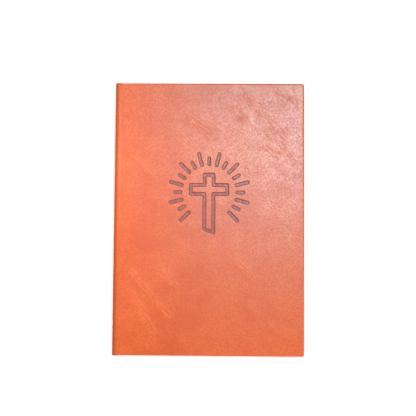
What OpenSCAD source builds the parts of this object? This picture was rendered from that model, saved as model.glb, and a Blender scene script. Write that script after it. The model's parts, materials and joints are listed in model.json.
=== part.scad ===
// Prayer book: a case-bound book in tan leather with a cross and rays pressed into the front.
// +X runs to the fore-edge, +Y to the head, +Z up through the front cover.
// The origin is at the middle of the underside. All sizes are in millimetres.
// The back of the book is drawn first. Front pieces are the same shapes turned over.

/* [Book] */
// Width of the closed book, from the spine's outer face to the fore-edge
book_w = 150; // [130:1:180]
// Height of the boards, from tail to head
book_h = 215; // [200:1:240]
// Thickness of the closed book
book_t = 18; // [17:0.1:19]
// How far the spine leather stands past the boards at the head and at the tail
spine_cap = 0.3; // [0.1:0.05:0.5]

/* [Cover] */
// Thickness of the leather
leather_t = 0.7; // [0.6:0.05:0.8]
// Thickness of the pared leather turned in over the boards
turn_in_t = 0.4; // [0.35:0.05:0.5]
// Width of the turn-ins inside the cover
turn_in_w = 15; // [10:1:20]
// Thickness of the two cover boards
board_t = 2; // [1.8:0.1:2.2]
// Thickness of the spine board
spine_board_t = 1.6; // [1.4:0.1:1.7]
// Distance from the spine's outer face to the cover boards
joint_w = 6; // [5:0.5:8]
// Outer radius where the leather turns from the spine onto a cover
shoulder_r = 2.5; // [2:0.1:2.8]
// Radius of the corners at the fore-edge
corner_r = 1.5; // [1:0.1:3]
// Radius on the outer edges of the leather
edge_r = 0.8; // [0.4:0.1:1.2]

/* [Text block] */
// How far the covers stand past the leaves
square_w = 3.5; // [2.5:0.5:5]
// Thickness of a pastedown, a flyleaf and a mull flap
sheet_t = 0.15; // [0.1:0.05:0.15]
// Thickness of one folded section
section_t = 0.84; // [0.8:0.01:0.86]
// Distance from the spine's outer face to the section folds
fold_in = 3.5; // [3.4:0.1:4]
// Radius of the sewing thread
thread_r = 0.18; // [0.1:0.02:0.2]
// Width of each mull flap glued to a cover board
mull_flap_w = 25; // [15:1:35]
// Radius of the headband's bead
bead_r = 0.75; // [0.5:0.05:0.8]

/* [Emblem] */
// Height of the ray circle's centre above the middle of the cover
emblem_y = 20.4; // [10:0.2:30]
// Depth of the pressed emblem
press_d = 0.35; // [0.2:0.05:0.4]
// Thickness of the coloured foil in the emblem
foil_t = 0.1; // [0.05:0.05:0.15]
// Width of each ray
ray_w = 2.4; // [1.6:0.1:3]
// Distance from the circle's centre to each ray's inner tip
ray_start = 21.2; // [19:0.1:22]
// Distance from the circle's centre to a short ray's outer tip
ray_short = 28.2; // [26:0.1:30]
// Distance from the circle's centre to a long ray's outer tip
ray_long = 32.7; // [30:0.1:36]
// Angle between two rays
ray_step = 15; // [15:1:18]
// Width of the line that draws the cross
cross_line = 2.3; // [1.6:0.1:2.6]
// Half the width of the cross's beams, to the middle of the line
beam_half = 3.55; // [3:0.05:4]
// Half the length of the crossbar, to the middle of the line
bar_half = 14.35; // [12:0.05:16]

/* [Hidden] */
$fn = 48;
slack = 0.01;
half_h = book_h / 2;
spine_half_h = half_h + spine_cap;
spine_x = -book_w / 2;
fore_x = book_w / 2;
joint_x = spine_x + joint_w;

// Heights in the back cover, measured up from the leather's outer face
board_top = leather_t + board_t;
turn_in_top = board_top + turn_in_t;
pastedown_top = turn_in_top + sheet_t;
flyleaf_top = pastedown_top + sheet_t;

// The leaves
leaf_x = spine_x + fold_in;
leaf_end_x = fore_x - square_w;
leaf_half_h = half_h - square_w;
section_count = 12;
section_pitch = (book_t - 2 * flyleaf_top - section_t) / (section_count - 1);
station_y = 44;
station_r = 0.6 * thread_r;
thread_reach = section_t / 2 + thread_r - 0.03;
thread_x = leaf_x + section_t / 2 + thread_r;

// The spine's layers, measured from its outer face
spine_board_in = leather_t + spine_board_t;
hollow_in = 3.0;
mull_in = 3.2;
hollow_wall = 0.15;
lining_low = flyleaf_top + 0.05;
lining_t = book_t - 2 * lining_low;
hollow_half_h = half_h - turn_in_w;
mull_half_h = leaf_half_h - 4;
flap_x = spine_x + mull_in + 0.2;
flap_end_x = joint_x + mull_flap_w;
band_gap = 0.2;
band_y = leaf_half_h + band_gap + bead_r;

// The pastedown stops short of the cover's edges
pastedown_x = leaf_x + 0.1;
pastedown_end_x = fore_x - 3;
pastedown_half_h = half_h - 3;
opening_end_x = fore_x - turn_in_w;
opening_half_h = half_h - turn_in_w;

// The cross, as corner points of its line, about the centre of the rays
cross_top = 14.05;
bar_top = 5.85;
bar_low = -1.3;
foot_left = -29.2;
foot_right = -31.6;
cross_corners = [
    [-beam_half, cross_top], [beam_half, cross_top], [beam_half, bar_top], [bar_half, bar_top],
    [bar_half, bar_low], [beam_half, bar_low], [beam_half, foot_right], [-beam_half, foot_left],
    [-beam_half, bar_low], [-bar_half, bar_low], [-bar_half, bar_top], [-beam_half, bar_top]
];
ray_reach = 9;

// ---- Shared shapes ----

// A profile in X and Z, drawn out along Y about the middle
module along_y(length) {
    translate([0, length / 2, 0]) rotate([90, 0, 0]) linear_extrude(length) children();
}

// A profile in Y and Z, drawn out along X from the origin
module along_x(length) {
    rotate([90, 0, 90]) linear_extrude(length) children();
}

// A plate between two X, centred on Y, between two Z
module plate(x_low, x_high, half_y, z_low, z_high) {
    translate([x_low, -half_y, z_low]) cube([x_high - x_low, 2 * half_y, z_high - z_low]);
}

// Turns a piece of the back cover over into the front cover
module turned_over() {
    translate([0, 0, book_t]) mirror([0, 0, 1]) children();
}

// The same piece at the head and at the tail
module head_and_tail() {
    children();
    mirror([0, 1, 0]) children();
}

// A cover's outline from above: square at the joint, round corners at the fore-edge
module cover_outline(x_high, half_y, radius) {
    translate([joint_x, -half_y]) square([x_high - radius - joint_x, 2 * half_y]);
    translate([joint_x, radius - half_y]) square([x_high - joint_x, 2 * (half_y - radius)]);
    for (side = [-1, 1])
        translate([x_high - radius, side * (half_y - radius)]) circle(radius);
}

// A bar with round ends between two points
module round_bar(from, to, width) {
    run = to - from;
    translate(from) circle(width / 2);
    translate(to) circle(width / 2);
    translate(from) rotate(atan2(run[1], run[0])) translate([0, -width / 2])
        square([norm(run), width]);
}

// ---- Cover ----

module cover_board() {
    translate([0, 0, leather_t]) linear_extrude(board_t)
        cover_outline(fore_x - leather_t, half_h - leather_t, corner_r - leather_t);
}

// The leather's outer block: rounded along the fore-edge, the head and the tail
module leather_block() {
    intersection() {
        linear_extrude(turn_in_top) cover_outline(fore_x, half_h, corner_r);
        along_y(book_h) {
            translate([joint_x, edge_r]) square([fore_x - joint_x, turn_in_top - edge_r]);
            translate([joint_x, 0]) square([fore_x - edge_r - joint_x, edge_r]);
            translate([fore_x - edge_r, edge_r]) circle(edge_r);
        }
        translate([joint_x, 0, 0]) along_x(fore_x - joint_x) {
            translate([-half_h, edge_r]) square([book_h, turn_in_top - edge_r]);
            translate([edge_r - half_h, 0]) square([book_h - 2 * edge_r, edge_r]);
            for (side = [-1, 1]) translate([side * (half_h - edge_r), edge_r]) circle(edge_r);
        }
    }
}

module cover_leather() {
    difference() {
        leather_block();
        cover_board();
        plate(joint_x - 1, opening_end_x, opening_half_h, leather_t + slack, turn_in_top + 1);
    }
}

// The strip of leather that bends between the spine and a cover
module joint_leather() {
    along_y(2 * spine_half_h) {
        intersection() {
            difference() {
                translate([spine_x + shoulder_r, shoulder_r]) circle(shoulder_r);
                translate([spine_x + shoulder_r, shoulder_r]) circle(shoulder_r - leather_t);
            }
            translate([spine_x, 0]) square(shoulder_r);
        }
        translate([spine_x + shoulder_r, 0]) square([joint_w - shoulder_r, leather_t]);
    }
    head_and_tail() {
        translate([0, spine_half_h - leather_t / 2, 0]) along_y(leather_t) {
            intersection() {
                translate([spine_x + shoulder_r, shoulder_r]) circle(shoulder_r);
                translate([spine_x, 0]) square(shoulder_r);
            }
            translate([spine_x + shoulder_r, 0]) square([joint_w - shoulder_r, shoulder_r]);
            translate([spine_x + hollow_in, 0]) square([joint_w - hollow_in, turn_in_top]);
        }
    }
}

module pastedown() {
    low = board_top + sheet_t;
    mid = low + sheet_t;
    difference() {
        plate(pastedown_x, pastedown_end_x, pastedown_half_h, board_top, pastedown_top);
        // over the turn-ins
        plate(opening_end_x, fore_x, half_h, 0, turn_in_top);
        head_and_tail() translate([spine_x, opening_half_h, 0]) cube([book_w, half_h, turn_in_top]);
        // over the mull flap
        plate(spine_x, flap_end_x, opening_half_h, 0, low);
        // the dip inside the turn-ins, where the sheet lies on the board
        plate(spine_x, flap_end_x + sheet_t, opening_half_h - sheet_t, mid, pastedown_top + 1);
        plate(flap_end_x + sheet_t, opening_end_x - sheet_t, opening_half_h - sheet_t,
              low, pastedown_top + 1);
    }
}

module flyleaf() {
    plate(leaf_x, leaf_end_x, leaf_half_h, pastedown_top, flyleaf_top);
}

module mull_flap() {
    plate(flap_x, flap_end_x, opening_half_h - 0.5, board_top, board_top + sheet_t);
}

// ---- Emblem ----

module cross_shape() {
    count = len(cross_corners);
    for (i = [0 : count - 1])
        round_bar(cross_corners[i], cross_corners[(i + 1) % count], cross_line);
}

// Long and short rays take turns, with a short one straight up
module ray_shape() {
    for (i = [-ray_reach : ray_reach]) {
        tip = i % 2 == 0 ? ray_short : ray_long;
        rotate(i * ray_step) translate([0, ray_start + ray_w / 2]) {
            circle(ray_w / 2);
            translate([0, tip - ray_start - ray_w]) circle(ray_w / 2);
            translate([-ray_w / 2, 0]) square([ray_w, tip - ray_start - ray_w]);
        }
    }
}

module at_emblem(height) {
    translate([0, emblem_y, height]) children();
}

// ---- Leaves ----

// Section 1 is at the front and section 12 at the back
function section_low(number) = flyleaf_top + (section_count - number) * section_pitch;
function section_mid(number) = section_low(number) + section_t / 2;

// The thread runs inside the fold and comes out through it at each sewing station
module thread_path(number, reach) {
    translate([thread_x, 0, section_mid(number)]) {
        rotate([90, 0, 0]) cylinder(h = 4 * station_y + 2, r = thread_r, center = true);
        for (i = [-2 : 2])
            translate([0, i * station_y, 0]) rotate([0, -90, 0])
                cylinder(h = reach, r = station_r);
    }
}

module section(number) {
    difference() {
        along_y(2 * leaf_half_h) translate([0, section_low(number)]) {
            translate([leaf_x + section_t / 2, 0])
                square([leaf_end_x - leaf_x - section_t / 2, section_t]);
            translate([leaf_x + section_t / 2, section_t / 2]) circle(section_t / 2);
        }
        thread_path(number, section_t + 1);
    }
}

// ---- Nodes ----

module back_board() { color("tan") cover_board(); }
module back_leather() { color("chocolate") cover_leather(); }
module back_joint_leather() { color("sienna") joint_leather(); }
module back_pastedown() { color("ivory") pastedown(); }
module back_flyleaf() { color("linen") flyleaf(); }
module front_board() { color("tan") turned_over() cover_board(); }
module front_joint_leather() { color("sienna") turned_over() joint_leather(); }
module front_pastedown() { color("ivory") turned_over() pastedown(); }
module front_flyleaf() { color("linen") turned_over() flyleaf(); }
module mull_back_flap() { color("wheat") mull_flap(); }
module mull_front_flap() { color("wheat") turned_over() mull_flap(); }

module front_leather() {
    color("chocolate") difference() {
        turned_over() cover_leather();
        at_emblem(book_t - press_d) linear_extrude(press_d + 1) {
            cross_shape();
            ray_shape();
        }
    }
}

module emblem_cross_foil() {
    color("rosybrown") at_emblem(book_t - press_d) linear_extrude(foil_t) cross_shape();
}

module emblem_ray_foil() {
    color("rosybrown") at_emblem(book_t - press_d) linear_extrude(foil_t) ray_shape();
}

module spine_board() {
    color("tan") plate(spine_x + leather_t, spine_x + spine_board_in, spine_half_h - leather_t,
                       shoulder_r, book_t - shoulder_r);
}

// Flat outside, turned over both ends of the spine board and down inside it
module spine_leather() {
    inner = spine_x + spine_board_in;
    color("sienna") {
        plate(spine_x, spine_x + leather_t, spine_half_h, shoulder_r, book_t - shoulder_r);
        head_and_tail() {
            translate([spine_x, spine_half_h - leather_t, shoulder_r])
                cube([spine_board_in + turn_in_t, leather_t, book_t - 2 * shoulder_r]);
            translate([inner, half_h - turn_in_w, shoulder_r])
                cube([turn_in_t, turn_in_w + spine_cap, book_t - 2 * shoulder_r]);
        }
    }
}

// A flat paper tube between the spine board and the mull
module oxford_hollow() {
    low = spine_x + spine_board_in;
    high = spine_x + hollow_in;
    color("peru") difference() {
        plate(low, high, hollow_half_h, lining_low, lining_low + lining_t);
        plate(low + hollow_wall, high - hollow_wall, hollow_half_h + 1,
              lining_low + hollow_wall, lining_low + lining_t - hollow_wall);
    }
}

module mull_spine() {
    color("wheat") plate(spine_x + hollow_in, spine_x + mull_in, mull_half_h,
                         lining_low, lining_low + lining_t);
}

// A sewn bead on a tape that is glued down beyond the mull
module end_band() {
    translate([spine_x + hollow_in, mull_half_h, lining_low])
        cube([mull_in - hollow_in, band_y - mull_half_h, lining_t]);
    translate([spine_x + hollow_in + bead_r, band_y, lining_low])
        cylinder(h = lining_t, r = bead_r);
}

module head_band() { color("firebrick") end_band(); }
module tail_band() { color("firebrick") mirror([0, 1, 0]) end_band(); }

module section_node(number) { color("cornsilk") section(number); }
module thread_node(number) { color("white") thread_path(number, thread_reach); }

back_board();
back_leather();
back_joint_leather();
back_pastedown();
back_flyleaf();
front_board();
front_leather();
front_joint_leather();
front_pastedown();
front_flyleaf();
emblem_cross_foil();
emblem_ray_foil();
spine_board();
spine_leather();
oxford_hollow();
mull_spine();
mull_back_flap();
mull_front_flap();
head_band();
tail_band();
section_node(1);  // section_01
section_node(2);  // section_02
section_node(3);  // section_03
section_node(4);  // section_04
section_node(5);  // section_05
section_node(6);  // section_06
section_node(7);  // section_07
section_node(8);  // section_08
section_node(9);  // section_09
section_node(10);  // section_10
section_node(11);  // section_11
section_node(12);  // section_12
thread_node(1);  // sewing_thread_01
thread_node(2);  // sewing_thread_02
thread_node(3);  // sewing_thread_03
thread_node(4);  // sewing_thread_04
thread_node(5);  // sewing_thread_05
thread_node(6);  // sewing_thread_06
thread_node(7);  // sewing_thread_07
thread_node(8);  // sewing_thread_08
thread_node(9);  // sewing_thread_09
thread_node(10);  // sewing_thread_10
thread_node(11);  // sewing_thread_11
thread_node(12);  // sewing_thread_12
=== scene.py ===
"""The look of the prayer book: leather skins, folded sheets, headbands, light and camera."""
import json
import math
from functools import cache

import bmesh
import bpy
import numpy as np
from mathutils import Matrix, Vector

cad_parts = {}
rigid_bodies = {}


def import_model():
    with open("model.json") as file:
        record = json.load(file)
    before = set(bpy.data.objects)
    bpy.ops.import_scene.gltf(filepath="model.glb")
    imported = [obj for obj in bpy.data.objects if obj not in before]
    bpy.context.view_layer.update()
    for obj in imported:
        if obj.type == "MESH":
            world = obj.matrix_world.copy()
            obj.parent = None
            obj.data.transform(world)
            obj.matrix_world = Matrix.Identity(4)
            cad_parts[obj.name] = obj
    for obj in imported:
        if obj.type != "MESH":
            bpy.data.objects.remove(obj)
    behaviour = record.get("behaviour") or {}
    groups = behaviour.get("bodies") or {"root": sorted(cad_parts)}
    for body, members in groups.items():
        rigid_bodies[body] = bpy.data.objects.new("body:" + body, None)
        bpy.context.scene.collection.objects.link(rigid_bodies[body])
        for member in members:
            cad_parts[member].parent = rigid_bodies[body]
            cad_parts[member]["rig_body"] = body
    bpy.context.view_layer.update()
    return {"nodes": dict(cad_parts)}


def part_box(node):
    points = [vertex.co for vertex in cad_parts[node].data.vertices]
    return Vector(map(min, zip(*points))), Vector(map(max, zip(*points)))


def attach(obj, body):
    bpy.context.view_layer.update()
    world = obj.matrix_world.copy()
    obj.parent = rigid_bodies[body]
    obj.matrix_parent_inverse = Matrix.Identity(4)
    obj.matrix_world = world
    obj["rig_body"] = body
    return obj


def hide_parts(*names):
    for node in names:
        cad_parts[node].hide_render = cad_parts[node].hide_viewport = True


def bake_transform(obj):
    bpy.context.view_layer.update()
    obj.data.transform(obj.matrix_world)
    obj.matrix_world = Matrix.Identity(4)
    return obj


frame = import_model()
MM = 0.001

# ---- Sizes, in metres, read from the frame ----
COVER_LOW, COVER_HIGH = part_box("front_leather")
SPINE_LOW, SPINE_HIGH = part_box("spine_leather")
SECTION_LOW, SECTION_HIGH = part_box("section_12")
FOIL_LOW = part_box("emblem_ray_foil")[0]
BOOK_T = COVER_HIGH[2]
SPINE_X = SPINE_LOW[0]
FORE_X = COVER_HIGH[0]
JOINT_X = COVER_LOW[0]
HALF_H = COVER_HIGH[1]
SPINE_HALF_H = SPINE_HIGH[1]
SHOULDER_R = SPINE_LOW[2]
STACK = BOOK_T - COVER_LOW[2]
SPINE_STACK = SPINE_HIGH[0] - SPINE_X
SECTION_T = SECTION_HIGH[2] - SECTION_LOW[2]
PRESS_D = BOOK_T - FOIL_LOW[2]

# ---- Sizes that the frame doesn't name, in metres ----
LEATHER_T = 0.7 * MM
TURN_IN_T = 0.4 * MM
TURN_IN_W = 15 * MM
CORNER_R = 1.5 * MM
# a little rounder than the edge of the CAD
EDGE_R = 0.9 * MM

# ---- The emblem's lines, from its own sizes, about the centre of the rays ----
EMBLEM_Y = 20.4 * MM
RAY_W = 2.4 * MM
RAY_START = 21.2 * MM
RAY_SHORT = 28.2 * MM
RAY_LONG = 32.7 * MM
RAY_STEP = math.radians(15)
RAY_REACH = 9
CROSS_LINE = 2.3 * MM
BEAM_HALF = 3.55 * MM
BAR_HALF = 14.35 * MM
CROSS_TOP = 14.05 * MM
BAR_TOP = 5.85 * MM
BAR_LOW = -1.3 * MM
FOOT_LEFT = -29.2 * MM
FOOT_RIGHT = -31.6 * MM


def emblem_bars():
    """Every line of the emblem as (start, end, half width)."""
    corners = [
        (-BEAM_HALF, CROSS_TOP), (BEAM_HALF, CROSS_TOP), (BEAM_HALF, BAR_TOP), (BAR_HALF, BAR_TOP),
        (BAR_HALF, BAR_LOW), (BEAM_HALF, BAR_LOW), (BEAM_HALF, FOOT_RIGHT), (-BEAM_HALF, FOOT_LEFT),
        (-BEAM_HALF, BAR_LOW), (-BAR_HALF, BAR_LOW), (-BAR_HALF, BAR_TOP), (-BEAM_HALF, BAR_TOP),
    ]
    bars = [(a, b, CROSS_LINE / 2) for a, b in zip(corners, corners[1:] + corners[:1])]
    for i in range(-RAY_REACH, RAY_REACH + 1):
        tip = RAY_SHORT if i % 2 == 0 else RAY_LONG
        turn = (math.sin(i * RAY_STEP), math.cos(i * RAY_STEP))
        near, far = RAY_START + RAY_W / 2, tip - RAY_W / 2
        bars.append(
            ((turn[0] * near, turn[1] * near), (turn[0] * far, turn[1] * far), RAY_W / 2)
        )
    return bars


def segment_distance(x, y, start, end):
    """Distance from the line between two points."""
    ax, ay = start
    dx, dy = end[0] - ax, end[1] - ay
    t = np.clip(((x - ax) * dx + (y - ay) * dy) / (dx * dx + dy * dy), 0, 1)
    return np.hypot(x - ax - t * dx, y - ay - t * dy)


def emblem_distance(x, y):
    """Distance from the nearest line's edge, below zero inside it."""
    best = np.full(x.shape, 1.0)
    for start, end, half in emblem_bars():
        best = np.minimum(best, segment_distance(x, y - EMBLEM_Y, start, end) - half)
    return best


def smooth_step(t):
    """From 0 to 1, level at both ends."""
    t = np.clip(t, 0, 1)
    return t * t * (3 - 2 * t)


CREASES_A_FOLD = 5
CREASE_STEP = 2.5 * MM
# how far a crease starts from its fold, as a share of the fold's spread
CREASE_ASIDE = 0.8
# how far it wanders at each step, and how wide it is, in mm
CREASE_WANDER = 0.35
CREASE_WIDTH = (0.8, 1.2)
CREASE_STRENGTH = (0.5, 1.0)


def crease_lines(seed, folds):
    """Fine wandering lines, side by side along each worn fold."""
    rng = np.random.RandomState(seed)
    lines = []
    for start, end, spread in folds:
        run = np.array(end) - np.array(start)
        length = float(np.hypot(*run))
        along = run / length
        across = np.array((-along[1], along[0]))
        for _ in range(CREASES_A_FOLD):
            first, last = sorted(rng.uniform(0, 1, 2))
            offset = rng.uniform(-CREASE_ASIDE, CREASE_ASIDE) * spread
            steps = max(2, round((last - first) * length / CREASE_STEP))
            points = []
            for k in range(steps + 1):
                offset += rng.uniform(-CREASE_WANDER, CREASE_WANDER) * MM
                share = first + (last - first) * k / steps
                points.append(tuple(start + along * share * length + across * offset))
            strength = rng.uniform(*CREASE_STRENGTH)
            lines.append((points, strength, rng.uniform(*CREASE_WIDTH) * MM))
    return lines


def crease_field(x, y, lines):
    """How deep the creases are at each point, from 0 to 1."""
    total = np.zeros(x.shape)
    for points, strength, width in lines:
        gap = np.full(x.shape, 1.0)
        for a, b in zip(points, points[1:]):
            gap = np.minimum(gap, segment_distance(x, y, a, b))
        total = np.maximum(total, strength * np.exp(-((gap / width) ** 2)))
    return total


def spaced(stops):
    """Values from (start, end, step) stretches, without repeats."""
    values = []
    for start, end, step in stops:
        count = max(1, round(abs(end - start) / step))
        values.extend(start + (end - start) * k / count for k in range(count))
    values.append(stops[-1][1])
    return np.array(values)


RIM_STEPS = 5


def edge_spacing(radius):
    """Offsets over a rounded edge, closer together towards the rim."""
    return [radius * (1 - math.sin(math.pi / 2 * k / RIM_STEPS)) for k in range(RIM_STEPS + 1)]


def add_object(name, data):
    """A new object in the scene, made from a mesh, a lamp or a camera."""
    obj = bpy.data.objects.new(name, data)
    bpy.context.scene.collection.objects.link(obj)
    return obj


def mesh_object(name, verts, faces, smooth=True):
    mesh = bpy.data.meshes.new(name)
    mesh.from_pydata([tuple(v) for v in verts], [], faces)
    mesh.validate()
    mesh.update()
    if smooth:
        mesh.polygons.foreach_set("use_smooth", [True] * len(mesh.polygons))
    return add_object(name, mesh)


def fix_normals(obj):
    """Turn every face outwards."""
    work = bmesh.new()
    work.from_mesh(obj.data)
    bmesh.ops.recalc_face_normals(work, faces=work.faces)
    work.to_mesh(obj.data)
    work.free()
    return obj


# ---- Leather skins ----

ARC_LENGTH = SHOULDER_R * math.pi / 2
SPINE_FLAT = BOOK_T / 2 - SHOULDER_R
ARC_END = SPINE_FLAT + ARC_LENGTH
# a narrow strip beside the cut keeps its rounding out of sight
SEAM = 0.05 * MM
U_JOINT = ARC_END + (JOINT_X - SPINE_X - SHOULDER_R)
U_END = ARC_END + (FORE_X - SPINE_X - SHOULDER_R)

# the nick at the joint: its depth in mm at the head and the tail, its place and its width
NICK_HEAD = 0.06
NICK_TAIL = 0.14
NICK_AT = 0.2 * MM
NICK_W = 0.7 * MM
# the spine strip's height falls to the boards' over this width
STRIP_STEP = 1.2 * MM
# the shallow groove beside the joint
GROOVE_D = 0.03 * MM
GROOVE_AT = 0.8 * MM
GROOVE_W = 1.1 * MM
# the relief fades out over these widths, at the rim and beside the spine
RIM_FADE = 2.5 * MM
SPINE_FADE = 4 * MM
# a crease's depth, in mm
CREASE_D = 0.05
# the turned-in edges: how soft their folds are, and how deep they lie under the shoulder
SOFT = 0.25 * MM
ARC_STACK = 2.1 * MM
SPINE_EASE = 1.5 * MM
TURN_IN_LIP = 0.2 * MM
# the marks that the leather's material reads
RIM_BAND = 1.5 * MM
# the rim mark lifts the colour with painted light along the rounded edges, where they fall into shade,
# and roughens them; the sides and turn-ins carry this much of it
SIDE_RIM = 0.3
# the shoulder mark is a band of painted shade along each shoulder of the spine: its place and spread, as
# shares of the arc
SHOULDER_SHADE_AT = 0.45
SHOULDER_SHADE_SPREAD = 0.62


def section_path(u):
    """Place and inward direction of the outer face, along a cut across the spine.

    u runs from the middle of the spine to the fore-edge. Depth is from the cover's outer face.
    """
    x = np.where(u < SPINE_FLAT, SPINE_X, SPINE_X + SHOULDER_R + (u - ARC_END))
    depth = np.where(u < SPINE_FLAT, BOOK_T / 2 - u, 0.0)
    arc = (u >= SPINE_FLAT) & (u < ARC_END)
    angle = np.clip((u - SPINE_FLAT) / SHOULDER_R, 0, math.pi / 2)
    x = np.where(arc, SPINE_X + SHOULDER_R * (1 - np.cos(angle)), x)
    depth = np.where(arc, SHOULDER_R * (1 - np.sin(angle)), depth)
    return x, depth, np.cos(angle), np.sin(angle)


def half_height(u, side):
    """Half the skin's height: the spine strip stands past the boards, with a nick at the joint."""
    depth = np.where(side > 0, NICK_HEAD, NICK_TAIL) * MM
    nick = depth * np.exp(-(((u - U_JOINT - NICK_AT) / NICK_W) ** 2))
    past = (SPINE_HALF_H - HALF_H) * (1 - smooth_step((u - U_JOINT + STRIP_STEP) / STRIP_STEP))
    return HALF_H + past - nick


def stack_at(u, cover, arc, spine):
    """A depth that goes from the cover's to the shoulder's to the spine's."""
    if u >= U_JOINT:
        return cover
    if u >= ARC_END:
        share = (u - ARC_END) / (U_JOINT - ARC_END)
        return arc + (cover - arc) * share
    if u >= SPINE_FLAT:
        return arc
    return arc + (spine - arc) * min(1, (SPINE_FLAT - u) / SPINE_EASE)


def turned_in(u, v, inset, depths):
    """A point of the turned-in leather, inset from the edge and at one of the three depths."""
    top = float(half_height(np.array(u), np.array(v)))
    u_in = min(u, U_END - inset)
    y_in = math.copysign(min(abs(v) * top, top - inset), v)
    radius = CORNER_R - inset
    over_u = u_in - (U_END - CORNER_R)
    over_v = abs(y_in) - (top - CORNER_R)
    if radius > 0 and over_u > 0 and over_v > 0:
        scale = max(over_u, over_v) / math.hypot(over_u, over_v)
        u_in = U_END - CORNER_R + over_u * scale
        y_in = math.copysign(top - CORNER_R + over_v * scale, v)
    x, depth, in_x, in_z = (float(a) for a in section_path(np.array(u_in)))
    deep = stack_at(u, *depths)
    return x + in_x * deep, y_in, depth + in_z * deep


def cover_skin(name, front, u_lines, v_lines, relief):
    """A closed leather skin: half the spine, the joint and one cover, wrapped over three edges."""
    uu, vv = np.meshgrid(u_lines, v_lines, indexing="ij")
    edge_u = U_END - uu
    edge_v = 1 - np.abs(vv)
    height = half_height(uu, vv)
    y = vv * height
    gap_v = edge_v * height
    # round the two corners at the fore-edge, seen from above
    in_u = CORNER_R - edge_u
    in_v = CORNER_R - gap_v
    corner = (in_u > 0) & (in_v > 0)
    length = np.hypot(in_u, in_v)
    shrink = np.where(corner & (length > 0), np.maximum(in_u, in_v) / np.maximum(length, 1e-9), 1)
    u_at = np.where(corner, U_END - CORNER_R + in_u * shrink, uu)
    y = np.where(corner, np.sign(vv) * (height - CORNER_R + in_v * shrink), y)
    rim = np.minimum(edge_u, gap_v)
    drop = np.where(
        rim < EDGE_R, EDGE_R - np.sqrt(np.maximum(EDGE_R**2 - (EDGE_R - rim) ** 2, 0)), 0
    )
    x, depth, in_x, in_z = section_path(u_at)
    settle = smooth_step(rim / RIM_FADE) * smooth_step((uu - ARC_END) / SPINE_FADE)
    press, crease, swell, worn = relief(x, y)
    sink = drop + settle * (press * PRESS_D + crease * CREASE_D * MM) - settle * swell
    groove = GROOVE_D * np.exp(-(((uu - U_JOINT + GROOVE_AT) / GROOVE_W) ** 2))
    sink = np.maximum(sink + groove * smooth_step(rim / MM), 0)
    px = x + in_x * sink
    pz = depth + in_z * sink
    rows, cols = uu.shape
    verts = list(np.stack([px, y, pz], -1).reshape(-1, 3))
    index = np.arange(rows * cols).reshape(rows, cols)
    faces = [
        (index[i, j], index[i + 1, j], index[i + 1, j + 1], index[i, j + 1])
        for i in range(rows - 1)
        for j in range(cols - 1)
    ]
    # the rim's path: along the tail, up the fore-edge, back along the head
    path = [(i, 0) for i in range(rows)] + [(rows - 1, j) for j in range(1, cols)]
    path += [(i, cols - 1) for i in range(rows - 2, -1, -1)]
    rings = [[index[i, j] for i, j in path]]

    def ring(inset, *depths):
        first = len(verts)
        verts.extend(turned_in(uu[i, j], vv[i, j], inset, depths) for i, j in path)
        rings.append(list(range(first, len(verts))))

    # each ring's inset, and how far it stays short of the full depth
    for inset, short in (
        (0, SOFT), (0.3 * SOFT, 0.3 * SOFT), (SOFT, 0), (TURN_IN_W - TURN_IN_LIP, 0),
        (TURN_IN_W, SOFT), (TURN_IN_W, TURN_IN_T), (LEATHER_T, TURN_IN_T),
    ):
        ring(inset, STACK - short, ARC_STACK - short, SPINE_STACK - short)
    ring(LEATHER_T, LEATHER_T, LEATHER_T, LEATHER_T)
    for outer, inner in zip(rings, rings[1:]):
        for k in range(len(path) - 1):
            faces.append((outer[k], inner[k], inner[k + 1], outer[k + 1]))
    last = rings[-1]
    count = len(path)
    for k in range(rows - 1):
        faces.append((last[k], last[count - 1 - k], last[count - 2 - k], last[k + 1]))
    faces.append(tuple(last[rows - 1 : count - rows + 1]))
    # close the cut along the middle of the spine
    cut = [index[0, j] for j in range(cols)]
    cut += [r[-1] for r in rings[1:]]
    cut += [r[0] for r in reversed(rings[1:])]
    faces.append(tuple(cut))
    verts = np.array(verts)
    if front:
        verts[:, 2] = BOOK_T - verts[:, 2]
    obj = mesh_object(name, verts, faces)
    # the rim mark: painted light on the rounded edges, strongest at the rim
    edge = np.clip(1 - rim / RIM_BAND, 0, 1)
    # painted shade: a dark band centred on the shoulder's arc
    off_shade_band = (uu - SPINE_FLAT - SHOULDER_SHADE_AT * ARC_LENGTH) / (SHOULDER_SHADE_SPREAD * ARC_LENGTH)
    shoulder = np.exp(-(off_shade_band**2))
    marks = {
        "press": press * settle, "crease": crease * settle, "worn": worn,
        "rim": edge, "shoulder": shoulder,
    }
    for label, grid in marks.items():
        values = np.full(len(verts), SIDE_RIM if label == "rim" else 0.0, np.float32)
        values[: rows * cols] = grid.reshape(-1)
        layer = obj.data.attributes.new(label, "FLOAT", "POINT")
        layer.data.foreach_set("value", values)
    return fix_normals(obj)


def worn_zones(x, y, folds):
    """Where the leather is most rubbed and creased, from 0 to 1."""
    total = np.zeros(x.shape)
    for start, end, spread in folds:
        total = np.maximum(total, np.exp(-((segment_distance(x, y, start, end) / spread) ** 2)))
    return total


def folds_in_mm(rows):
    """Worn folds as (start, end, spread) in metres, from rows of x, y, x, y and spread in mm."""
    return [((a * MM, b * MM), (c * MM, d * MM), e * MM) for a, b, c, d, e in rows]


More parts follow.
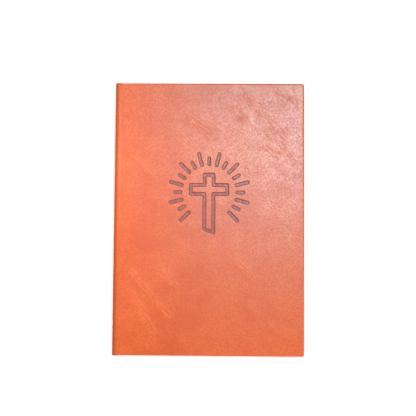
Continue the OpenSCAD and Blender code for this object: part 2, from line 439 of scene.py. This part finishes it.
FRONT_FOLDS = folds_in_mm([
    (29, 96, 58, 67, 4.5), (42, 57, 55, 51, 3), (48, 65, 61, 61, 3), (60, 55, 68, 45, 3),
    (55, 99, 69, 93, 3), (20, 86, 30, 77, 4), (-14, 78, 4, 66, 5), (-60, -43, -42, -64, 3.5),
    (-42, -64, -31, -76, 3.5), (-36, -43, -26, -52, 3), (-60, -60, -43, -89, 4),
    (35, -70, 43, -81, 3.5), (50, -84, 66, -91, 4), (-62, 52, -46, 36, 4), (22, -34, 34, -46, 4),
])
BACK_FOLDS = folds_in_mm([
    (-50, 80, -24, 56, 5), (20, -40, 46, -66, 5), (34, 62, 56, 44, 4), (-46, -60, -30, -78, 4),
])


# the pressed lines' sloping wall, and the low lip round them
WALL = 0.28 * MM
LIP_H = 0.03
LIP_AT = 0.75 * MM
LIP_W = 0.45 * MM
SWELL_D = 0.05 * MM


def slow_swell(x, y, wide, tall, shift_x, shift_y):
    """Broad, very low waves: their lengths are in mm."""
    return SWELL_D * np.sin(x / (wide * MM) + shift_x) * np.sin(y / (tall * MM) + shift_y)


def front_relief(x, y):
    edge = emblem_distance(x, y)
    press = 1 - smooth_step((edge + WALL) / (2 * WALL))
    lip = LIP_H * np.exp(-(((edge - LIP_AT) / LIP_W) ** 2))
    crease = crease_field(x, y, crease_lines(11, FRONT_FOLDS)) * (1 - press)
    swell = slow_swell(x, y, 23, 31, 1.1, 0.4)
    return press - lip, crease, swell, worn_zones(x, y, FRONT_FOLDS)


def back_relief(x, y):
    crease = crease_field(x, y, crease_lines(23, BACK_FOLDS))
    swell = slow_swell(x, y, 27, 29, 0.3, 2.0)
    return np.zeros(x.shape), crease, np.minimum(swell, 0), worn_zones(x, y, BACK_FOLDS)


# spacing of the grid lines over the spine, its shoulder, the joint and the cover's edge
SPINE_STEP = 1.6 * MM
ARC_STEP = 0.45 * MM
JOINT_STEP = 0.4 * MM
EDGE_STEP = 0.35 * MM
EDGE_BAND = 1.6 * MM


def skin_lines(step, fine, fine_u, fine_v):
    """Grid lines for a skin: u in metres along the cut, v from -1 at the tail to 1 at the head."""
    u_low, u_high = (ARC_END + (x - SPINE_X - SHOULDER_R) for x in fine_u)
    rim = edge_spacing(EDGE_R)[1:]
    u = spaced([
        (0, SEAM, SEAM), (SEAM, SPINE_FLAT, SPINE_STEP), (SPINE_FLAT, ARC_END, ARC_STEP),
        (ARC_END, U_JOINT + MM, JOINT_STEP), (U_JOINT + MM, u_low, step), (u_low, u_high, fine),
        (u_high, U_END - EDGE_BAND, step), (U_END - EDGE_BAND, U_END - EDGE_R, EDGE_STEP),
    ])
    u = np.concatenate([u, [U_END - r for r in rim]])
    v = spaced([
        (-HALF_H + EDGE_BAND, fine_v[0], step), (fine_v[0], fine_v[1], fine),
        (fine_v[1], HALF_H - EDGE_BAND, step),
    ])
    ends = [HALF_H - EDGE_BAND + EDGE_STEP, HALF_H - EDGE_R] + [HALF_H - r for r in rim]
    v = np.concatenate([[-e for e in reversed(ends)], v, ends])
    return u, v / HALF_H


def build_skins():
    u, v = skin_lines(1.0 * MM, 0.42 * MM, (-34 * MM, 34 * MM), (-13 * MM, 55 * MM))
    front = cover_skin("front_leather_skin", True, u, v, front_relief)
    u, v = skin_lines(1.1 * MM, 1.1 * MM, (-30 * MM, 30 * MM), (-20 * MM, 20 * MM))
    back = cover_skin("back_leather_skin", False, u, v, back_relief)
    for obj in (front, back):
        obj.data.materials.append(leather_material())
    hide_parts("front_leather", "front_joint_leather", "spine_leather")
    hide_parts("back_leather", "back_joint_leather")
    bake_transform(front)
    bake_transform(back)


# ---- Folded sheets ----

SHEETS = 4
FOLD_STEPS = 8
# air between two sheets, and the innermost fold's least radius
SHEET_GAP = 0.012 * MM
LEAST_R = 0.008 * MM
# how unevenly the leaves are trimmed at the fore-edge and at the head and tail, in mm
TRIM_FORE = 0.09
TRIM_ENDS = 0.07


def folded_sheet(verts, faces, low, number, rng):
    """One folded sheet as a closed U: lower leaf, fold and upper leaf."""
    leaf = SECTION_T / (2 * SHEETS)
    outer_r = SECTION_T / 2 - number * leaf
    inner_r = max(outer_r - leaf + SHEET_GAP, LEAST_R)
    mid_z = low + SECTION_T / 2
    fold_x = SECTION_LOW[0] + SECTION_T / 2
    ends = [SECTION_HIGH[0] - rng.uniform(0, TRIM_FORE) * MM for _ in range(2)]
    half = SECTION_HIGH[1] - rng.uniform(0, TRIM_ENDS) * MM
    chain = [(ends[0], -1.0)]
    stops = [SECTION_HIGH[0] - 2 * MM, 0.03, 0.0, -0.03, fold_x + 3 * MM]
    chain += [(x, -1.0) for x in stops]
    for k in range(FOLD_STEPS + 1):
        chain.append((None, -math.pi / 2 - math.pi * k / FOLD_STEPS))
    chain += [(x, 1.0) for x in reversed(stops)]
    chain.append((ends[1], 1.0))
    pairs = []
    for x, turn in chain:
        if x is None:
            c, s = math.cos(turn), math.sin(turn)
            pairs.append(((fold_x + outer_r * c, mid_z + outer_r * s),
                          (fold_x + inner_r * c, mid_z + inner_r * s)))
        else:
            pairs.append(((x, mid_z + turn * outer_r), (x, mid_z + turn * inner_r)))
    base = len(verts)
    y_stops = [share * half for share in (-1, -0.6, -0.2, 0.2, 0.6, 1)]
    for y in y_stops:
        for outer, inner in pairs:
            verts.append((outer[0], y, outer[1]))
            verts.append((inner[0], y, inner[1]))
    width = 2 * len(pairs)
    for r in range(len(y_stops) - 1):
        a, b = base + r * width, base + (r + 1) * width
        for k in range(len(pairs) - 1):
            o = 2 * k
            faces.append((a + o, b + o, b + o + 2, a + o + 2))
            faces.append((a + o + 1, a + o + 3, b + o + 3, b + o + 1))
        faces.append((a, a + 1, b + 1, b))
        e = width - 2
        faces.append((a + e, b + e, b + e + 1, a + e + 1))
    for a, flip in ((base, False), (base + (len(y_stops) - 1) * width, True)):
        for k in range(len(pairs) - 1):
            o = a + 2 * k
            quad = (o, o + 2, o + 3, o + 1)
            faces.append(quad[::-1] if flip else quad)


def build_sections():
    paper = paper_material("book_paper", (0.86, 0.80, 0.67), 0.965)
    for number in range(1, 13):
        node = f"section_{number:02d}"
        rng = np.random.RandomState(100 + number)
        verts, faces = [], []
        for k in range(SHEETS):
            folded_sheet(verts, faces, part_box(node)[0][2], k, rng)
        obj = fix_normals(mesh_object(f"folded_sheets_{number:02d}", verts, faces, smooth=False))
        obj.data.materials.append(paper)
        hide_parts(node)
        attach(obj, frame["nodes"][node]["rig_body"])


# ---- Headbands ----

BEAD_R = 0.75 * MM
SILK_R = 0.19 * MM
SILK_PITCH = 0.36 * MM
SILK_LEAN = 0.072 * MM
AROUND = 16
TUBE = 8
TURNS_A_STRIPE = 2
TAPE_T = 0.2 * MM
TAPE_END = 0.1
TAPE_EDGE = 0.05 * MM


def build_headband(node, name):
    """Silk wound over a core in two colours, on its glued tape."""
    low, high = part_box(node)
    side = 1 if high[1] > 0 else -1
    y_mid = side * (max(abs(low[1]), abs(high[1])) - BEAD_R)
    x_mid = high[0] - BEAD_R
    ring_r = BEAD_R - SILK_R
    count = int((high[2] - low[2] - 2 * SILK_R) / SILK_PITCH)
    start = (low[2] + high[2] - SILK_PITCH * (count - 1)) / 2
    verts, faces, shades = [], [], []
    for n in range(count):
        base = len(verts)
        for i in range(AROUND):
            a = 2 * math.pi * i / AROUND
            lean = SILK_LEAN * math.cos(a)
            for j in range(TUBE):
                b = 2 * math.pi * j / TUBE
                r = ring_r + SILK_R * math.cos(b)
                z = start + n * SILK_PITCH + lean + SILK_R * math.sin(b)
                verts.append((x_mid + r * math.cos(a), y_mid + r * math.sin(a), z))
        for i in range(AROUND):
            for j in range(TUBE):
                here, there = base + i * TUBE, base + (i + 1) % AROUND * TUBE
                j2 = (j + 1) % TUBE
                faces.append((here + j, there + j, there + j2, here + j2))
                shades.append((n // TURNS_A_STRIPE) % 2)
    obj = mesh_object(name, verts, faces)
    obj.data.materials.append(silk_material("silk_red", (0.42, 0.05, 0.035)))
    obj.data.materials.append(silk_material("silk_cream", (0.80, 0.68, 0.45)))
    obj.data.polygons.foreach_set("material_index", shades)
    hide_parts(node)
    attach(obj, "spine")
    tape_low = (low[0], min(side * TAPE_END, y_mid), low[2])
    tape_high = (low[0] + TAPE_T, max(side * TAPE_END, y_mid), high[2])
    tape = rounded_slab(name + "_tape", tape_low, tape_high, TAPE_EDGE)
    tape.data.materials.append(cloth_material("tape_cloth", (0.80, 0.76, 0.66), 2600))
    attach(tape, "spine")


def rounded_slab(name, low, high, radius):
    """A thin sheet with softened edges."""
    work = bmesh.new()
    bmesh.ops.create_cube(work, size=1)
    size = Vector(high) - Vector(low)
    mid = (Vector(high) + Vector(low)) / 2
    placed = Matrix.Translation(mid) @ Matrix.Diagonal((*size, 1))
    bmesh.ops.transform(work, matrix=placed, verts=work.verts)
    bmesh.ops.bevel(work, geom=work.edges, offset=radius, segments=2, affect="EDGES", profile=0.5)
    mesh = bpy.data.meshes.new(name)
    work.to_mesh(mesh)
    work.free()
    return add_object(name, mesh)


# ---- Materials ----

class Nodes:
    """A small builder for a material's node tree."""

    def __init__(self, name):
        self.material = bpy.data.materials.new(name)
        self.material.use_nodes = True
        self.tree = self.material.node_tree
        self.shader = self.tree.nodes["Principled BSDF"]
        self.place = self.add("ShaderNodeTexCoord").outputs["Object"]

    def add(self, kind, **values):
        node = self.tree.nodes.new(kind)
        for key, value in values.items():
            if hasattr(node, key):
                setattr(node, key, value)
            else:
                node.inputs[key.replace("_", " ")].default_value = value
        return node

    def link(self, a, b):
        self.tree.links.new(a, b)

    def put(self, socket, value):
        """A number, a colour or another node's output."""
        if isinstance(value, (int, float)):
            socket.default_value = value
        elif isinstance(value, tuple):
            socket.default_value = (*value, 1)
        else:
            self.link(value, socket)

    def noise(self, scale, detail=3, rough=0.5, vector=None):
        node = self.add("ShaderNodeTexNoise", Scale=scale, Detail=detail, Roughness=rough)
        self.link(vector or self.place, node.inputs["Vector"])
        return node.outputs["Fac"]

    def cell_edges(self, scale):
        """Distance from the edge between two cells."""
        node = self.add("ShaderNodeTexVoronoi", feature="DISTANCE_TO_EDGE", Scale=scale)
        self.link(self.place, node.inputs["Vector"])
        return node.outputs["Distance"]

    def stretched(self, size, turn=0.0):
        """Place measured in lengths of size, with its first axis turned about Z."""
        node = self.add("ShaderNodeMapping", vector_type="TEXTURE")
        node.inputs["Scale"].default_value = size
        node.inputs["Rotation"].default_value = (0, 0, turn)
        self.link(self.place, node.inputs["Vector"])
        return node.outputs["Vector"]

    def ramp(self, value, low, high, out_low=0.0, out_high=1.0):
        node = self.add("ShaderNodeMapRange")
        ends = {"From Min": low, "From Max": high, "To Min": out_low, "To Max": out_high}
        for name, number in ends.items():
            node.inputs[name].default_value = number
        self.link(value, node.inputs["Value"])
        return node.outputs["Result"]

    def math(self, kind, a, b=0):
        node = self.add("ShaderNodeMath", operation=kind)
        self.put(node.inputs[0], a)
        self.put(node.inputs[1], b)
        return node.outputs[0]

    def times(self, a, b):
        return self.math("MULTIPLY", a, b)

    def mix(self, share, a, b):
        """Colour a where share is 0 and colour b where it is 1."""
        node = self.add("ShaderNodeMix", data_type="RGBA")
        self.put(node.inputs[0], share)
        self.put(node.inputs[6], a)
        self.put(node.inputs[7], b)
        return node.outputs[2]

    def attribute(self, name):
        return self.add("ShaderNodeAttribute", attribute_name=name).outputs["Fac"]

    def bump(self, height, strength, distance, under=None):
        node = self.add("ShaderNodeBump", Strength=strength, Distance=distance)
        self.link(height, node.inputs["Height"])
        if under is not None:
            self.link(under, node.inputs["Normal"])
        return node.outputs["Normal"]

    def finish(self, color, rough, normal=None):
        self.link(color, self.shader.inputs["Base Color"])
        self.link(rough, self.shader.inputs["Roughness"])
        if normal is not None:
            self.link(normal, self.shader.inputs["Normal"])
        return self.material


GRAIN_TURN = math.radians(-44)
STREAK_SIZE = (8 * MM, 1.0 * MM, 3 * MM)
TAN_DEEP = (0.77, 0.108, 0.011)
TAN_LIGHT = (0.88, 0.148, 0.022)
TAN_BLOTCH = (0.93, 0.19, 0.036)
PEBBLE_GROOVE = (0.52, 0.060, 0.007)
GRAIN_DARK = (0.62, 0.070, 0.008)
# the rubbed lines' lighter tan: partly wear, partly a painted highlight where the lines catch the light
RUBBED_AND_PAINTED_HIGHLIGHT = (0.92, 0.25, 0.080)
# painted light: a brighter orange in the low grain lines, offsetting their shade
SUNK_PAINTED_LIGHT = (0.93, 0.130, 0.007)
# painted light: a brighter orange in the creases, offsetting their shade
CREASE_PAINTED_LIGHT = (0.95, 0.140, 0.007)
# painted light: a brighter, more saturated tan that offsets the shade on the rounded edges
RIM_PAINTED_LIGHT = (0.88, 0.150, 0.007)
# painted shade for the band along the spine's shoulders
SHOULDER_PAINTED_SHADE = (0.34, 0.052, 0.001)
# the pressed walls' dark ring: leather burnt by the hot press, with painted shade of the walls added
BURNT_AND_PAINTED_SHADE = (0.115, 0.022, 0.014)
FOIL_DARK = (0.245, 0.030, 0.022)
FOIL_LIGHT = (0.410, 0.068, 0.050)
FOIL_WORN = (0.44, 0.125, 0.095)


@cache
def leather_material():
    n = Nodes("tan_leather")
    pebble = n.ramp(n.cell_edges(1050), 0.0, 0.30)
    grain = n.noise(820, 2, 0.55)
    fine = n.noise(2600, 3, 0.6)
    broad = n.noise(22, 4, 0.6)
    blotch = n.noise(75, 5, 0.65)
    streak = n.noise(1.0, 2, 0.6, n.stretched(STREAK_SIZE, GRAIN_TURN))
    worn = n.ramp(n.attribute("worn"), 0.05, 0.8, 0.12, 1.0)
    # the raised grain lines in the worn zones: rubbed wear with a painted highlight
    rubbed_and_highlight = n.times(n.ramp(streak, 0.52, 0.60), worn)
    sunk = n.times(n.ramp(streak, 0.48, 0.41), worn)
    color = n.mix(n.ramp(broad, 0.38, 0.62), TAN_DEEP, TAN_LIGHT)
    color = n.mix(n.ramp(blotch, 0.45, 0.66, 0, 0.55), color, TAN_BLOTCH)
    color = n.mix(n.ramp(pebble, 0.0, 0.45, 0.22, 0.0), color, PEBBLE_GROOVE)
    color = n.mix(n.ramp(grain, 0.40, 0.56, 0.55, 0.0), color, GRAIN_DARK)
    color = n.mix(n.times(rubbed_and_highlight, 0.34), color, RUBBED_AND_PAINTED_HIGHLIGHT)
    # painted light: the low lines and the creases are lifted to a brighter orange against their shade
    color = n.mix(n.times(sunk, 0.45), color, SUNK_PAINTED_LIGHT)
    color = n.mix(n.times(n.attribute("crease"), 0.45), color, CREASE_PAINTED_LIGHT)
    # painted light along the rims, offsetting the shade of the rounded edges
    color = n.mix(n.times(n.attribute("rim"), 0.75), color, RIM_PAINTED_LIGHT)
    # painted shade: the shoulders darken where shade falls on the spine's edge
    color = n.mix(n.times(n.attribute("shoulder"), 0.80), color, SHOULDER_PAINTED_SHADE)
    # the pressed lines darken: partly burnt leather, partly painted shade on their walls
    burnt_and_shade = n.ramp(n.attribute("press"), 0.02, 0.35, 0, 0.95)
    color = n.mix(burnt_and_shade, color, BURNT_AND_PAINTED_SHADE)
    mottle = n.math("ADD", n.times(grain, 0.65), n.times(blotch, 0.35))
    rough = n.math("ADD", n.ramp(mottle, 0.36, 0.64, 0.44, 0.31), n.times(rubbed_and_highlight, 0.12))
    rough = n.math("ADD", rough, n.times(n.attribute("rim"), 0.22))
    normal = n.bump(n.times(streak, worn), 0.9, 0.18 * MM)
    normal = n.bump(grain, 0.4, 0.07 * MM, normal)
    normal = n.bump(pebble, 0.4, 0.05 * MM, normal)
    normal = n.bump(fine, 0.3, 0.03 * MM, normal)
    n.shader.inputs["Specular IOR Level"].default_value = 0.4
    n.shader.inputs["Coat Weight"].default_value = 0.05
    n.shader.inputs["Coat Roughness"].default_value = 0.34
    return n.finish(color, rough, normal)


def foil_material():
    n = Nodes("pressed_foil")
    grain = n.noise(1100, 4, 0.6)
    worn = n.noise(300, 4, 0.65)
    color = n.mix(n.ramp(grain, 0.38, 0.62), FOIL_DARK, FOIL_LIGHT)
    color = n.mix(n.ramp(worn, 0.50, 0.70, 0, 0.40), color, FOIL_WORN)
    rough = n.ramp(grain, 0.3, 0.7, 0.55, 0.36)
    return n.finish(color, rough, n.bump(grain, 0.6, 0.06 * MM))


@cache
def paper_material(name, tone, shade):
    n = Nodes(name)
    fibre = n.noise(1.0, 4, 0.6, n.stretched((1.1 * MM, 2.9 * MM, 1.1 * MM)))
    cloud = n.noise(38, 4, 0.6)
    dark = tuple(c * shade for c in tone)
    color = n.mix(n.ramp(cloud, 0.35, 0.65), dark, tone)
    color = n.mix(n.ramp(fibre, 0.5, 0.8, 0, 0.3), color, tuple(c * shade * 0.95 for c in tone))
    rough = n.ramp(fibre, 0.3, 0.7, 0.78, 0.92)
    return n.finish(color, rough, n.bump(fibre, 0.3, 0.02 * MM))


@cache
def cloth_material(name, tone, scale):
    """An open plain weave: the warp crosses X and Z, and the weft crosses Y."""
    n = Nodes(name)
    split = n.add("ShaderNodeSeparateXYZ")
    n.link(n.place, split.inputs[0])
    across = n.math("ADD", split.outputs["X"], split.outputs["Z"])
    warp = n.math("SINE", n.times(across, scale * 2))
    weft = n.math("SINE", n.times(split.outputs["Y"], scale * 2))
    weave = n.math("MAXIMUM", warp, weft)
    slub = n.noise(500, 3)
    color = n.mix(n.ramp(weave, -0.6, 0.8), tuple(c * 0.45 for c in tone), tone)
    color = n.mix(n.ramp(slub, 0.4, 0.7, 0, 0.4), color, tuple(c * 0.8 for c in tone))
    rough = n.ramp(slub, 0.3, 0.7, 0.75, 0.92)
    return n.finish(color, rough, n.bump(weave, 0.5, 0.05 * MM))


@cache
def silk_material(name, tone):
    n = Nodes(name)
    strand = n.noise(1.0, 3, 0.6, n.stretched((1.1 * MM, 1.1 * MM, 0.17 * MM)))
    color = n.mix(n.ramp(strand, 0.35, 0.65), tuple(c * 0.65 for c in tone), tone)
    rough = n.ramp(strand, 0.3, 0.7, 0.34, 0.5)
    n.shader.inputs["Sheen Weight"].default_value = 0.3
    return n.finish(color, rough, n.bump(strand, 0.4, 0.02 * MM))


def board_material():
    n = Nodes("greyboard")
    fleck = n.noise(1500, 4, 0.7)
    pulp = n.noise(160, 4, 0.6)
    color = n.mix(n.ramp(pulp, 0.35, 0.65), (0.24, 0.20, 0.155), (0.33, 0.285, 0.23))
    color = n.mix(n.ramp(fleck, 0.6, 0.75, 0, 0.6), color, (0.13, 0.11, 0.09))
    return n.finish(color, n.ramp(fleck, 0.3, 0.7, 0.85, 0.95), n.bump(fleck, 0.5, 0.05 * MM))


def finish_cad_nodes():
    """Materials for the CAD nodes that stay as they are."""
    thread = cloth_material("linen_thread", (0.80, 0.76, 0.66), 9000)
    mull = cloth_material("mull_weave", (0.78, 0.72, 0.58), 3100)
    endpaper = paper_material("endpaper", (0.84, 0.77, 0.62), 0.93)
    kraft = paper_material("kraft_paper", (0.42, 0.25, 0.12), 0.85)
    board = board_material()
    foil = foil_material()
    by_start = {"sewing_thread": thread, "mull": mull}
    by_end = {
        "board": board, "pastedown": endpaper, "flyleaf": endpaper, "oxford_hollow": kraft, "foil": foil,
    }
    for name, obj in frame["nodes"].items():
        chosen = [made for start, made in by_start.items() if name.startswith(start)]
        chosen += [made for end, made in by_end.items() if name.endswith(end)]
        if chosen:
            obj.data.materials.clear()
            obj.data.materials.append(chosen[0])


# ---- Floor, light and camera ----

FLOOR_HALF = 12
FLOOR_CELLS = 24
FLOOR_DROP = 0.05 * MM
WORLD_STRENGTH = 0.44
FLOOR_WASH = 2.9
WASH_ANGLE = math.radians(50)


def build_floor():
    verts, faces = [], []
    count = FLOOR_CELLS
    for i in range(count + 1):
        for j in range(count + 1):
            x, y = (FLOOR_HALF * (2 * k / count - 1) for k in (i, j))
            verts.append((x, y, -FLOOR_DROP))
    for i in range(count):
        for j in range(count):
            a = i * (count + 1) + j
            faces.append((a, a + count + 1, a + count + 2, a + 1))
    floor = mesh_object("floor", verts, faces)
    n = Nodes("pale_floor")
    color = n.mix(n.ramp(n.noise(6, 3), 0.3, 0.7), (0.93, 0.93, 0.93), (0.96, 0.96, 0.96))
    floor.data.materials.append(n.finish(color, n.ramp(n.noise(30), 0.3, 0.7, 0.85, 0.95)))
    return floor


def aim(obj, place, target):
    direction = Vector(place) - Vector(target)
    turn = direction.to_track_quat("Z", "Y").to_matrix().to_4x4()
    obj.matrix_world = Matrix.Translation(Vector(place)) @ turn


def area_light(name, place, target, size, power, color=(1, 1, 1)):
    """A round lamp of a size in metres and a power in watts."""
    data = bpy.data.lights.new(name, "AREA")
    data.shape = "DISK"
    data.size = size
    data.energy = power
    data.color = color
    light = add_object(name, data)
    aim(light, place, target)
    return light


def only_lights(light, objects):
    """The lamp lights these objects and nothing else."""
    group = bpy.data.collections.new(light.name + "_lights")
    for obj in objects:
        group.objects.link(obj)
    light.light_linking.receiver_collection = group


def build_light(floor, pieces):
    world = bpy.data.worlds.new("studio")
    bpy.context.scene.world = world
    world.use_nodes = True
    back = world.node_tree.nodes["Background"]
    back.inputs["Color"].default_value = (1, 1, 1, 1)
    back.inputs["Strength"].default_value = WORLD_STRENGTH
    sheen = area_light("sheen", (0.131, 0.205, 0.84), (0.06, 0.06, 0), 0.24, 7.8, (1.0, 0.97, 0.99))
    sheen.visible_diffuse = False
    left = area_light("left_key", (-0.190, 0.107, 0.195), (-0.28, -0.12, 0), 0.08, 0.80)
    right = area_light("right_key", (0.220, -0.263, 0.200), (-0.07, -0.266, 0), 0.08, 0.69)
    overhead = area_light("page_light", (0, 0, 1.6), (0, 0, 0), 0.9, 15)
    leather = [o for o in pieces if "leather" in o.name or "foil" in o.name]
    for key in (left, right):
        key.visible_glossy = False
        only_lights(key, leather)
    overhead.visible_glossy = False
    only_lights(overhead, [o for o in pieces if o not in leather])
    data = bpy.data.lights.new("floor_wash", "SUN")
    data.energy = FLOOR_WASH
    data.angle = WASH_ANGLE
    wash = add_object("floor_wash", data)
    wash.visible_glossy = False
    only_lights(wash, [floor])


CAMERA_DISTANCE = 0.700
CAMERA_AIM = Vector((-0.0006, 0.0081, BOOK_T))
CAMERA_AZIMUTH = math.radians(13.5)
CAMERA_ELEVATION = math.radians(85.75)
CAMERA_ROLL = math.radians(0.434)
CAMERA_LENS = 76.9
SENSOR_WIDTH = 36
CLIP_START = 0.01


def build_camera():
    data = bpy.data.cameras.new("camera")
    data.lens = CAMERA_LENS
    data.sensor_width = SENSOR_WIDTH
    data.clip_start = CLIP_START
    camera = add_object("camera", data)
    flat = math.cos(CAMERA_ELEVATION)
    side, ahead = math.sin(CAMERA_AZIMUTH) * flat, -math.cos(CAMERA_AZIMUTH) * flat
    back = Vector((side, ahead, math.sin(CAMERA_ELEVATION)))
    right = Vector((0, 1, 0)).cross(back).normalized()
    up = back.cross(right)
    turned_right = math.cos(CAMERA_ROLL) * right + math.sin(CAMERA_ROLL) * up
    turned_up = math.cos(CAMERA_ROLL) * up - math.sin(CAMERA_ROLL) * right
    basis = Matrix((turned_right, turned_up, back)).transposed().to_4x4()
    camera.matrix_world = Matrix.Translation(CAMERA_AIM + back * CAMERA_DISTANCE) @ basis
    bpy.context.scene.camera = camera


build_camera()
floor = build_floor()
finish_cad_nodes()
build_skins()
build_sections()
build_headband("head_band", "head_band_silk")
build_headband("tail_band", "tail_band_silk")
build_light(floor, [o for o in bpy.data.objects if o.type == "MESH" and o is not floor])
bpy.context.scene.view_settings.view_transform = "Standard"
